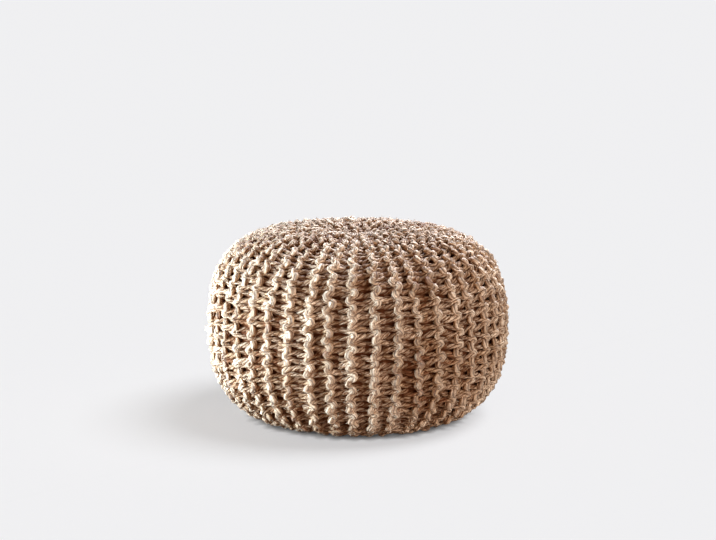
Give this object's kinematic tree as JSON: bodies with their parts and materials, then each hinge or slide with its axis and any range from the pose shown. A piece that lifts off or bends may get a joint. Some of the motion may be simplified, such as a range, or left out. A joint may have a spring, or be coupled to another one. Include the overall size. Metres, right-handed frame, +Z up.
{
  "type": "knitted jute pouf",
  "caption": "Round stuffed floor pouf in a chunky garter stitch jute cover, its knitted ridges running from the gathered top down to a flat base, for sitting or resting feet on.",
  "frame": {"origin": "middle of the flat patch that the pouf rests on", "axes": "+Z up along the axis from the base to the gather at the top, -Y towards the picture's viewer"},
  "size_m": [0.5038, 0.5024, 0.3132],
  "materials": {
    "jute": "matt natural jute yarn, loosely plied, uneven tan to golden brown"
  },
  "bodies": {
    "root": {"knitted_pouf": "jute"}
  },
  "joints": []
}
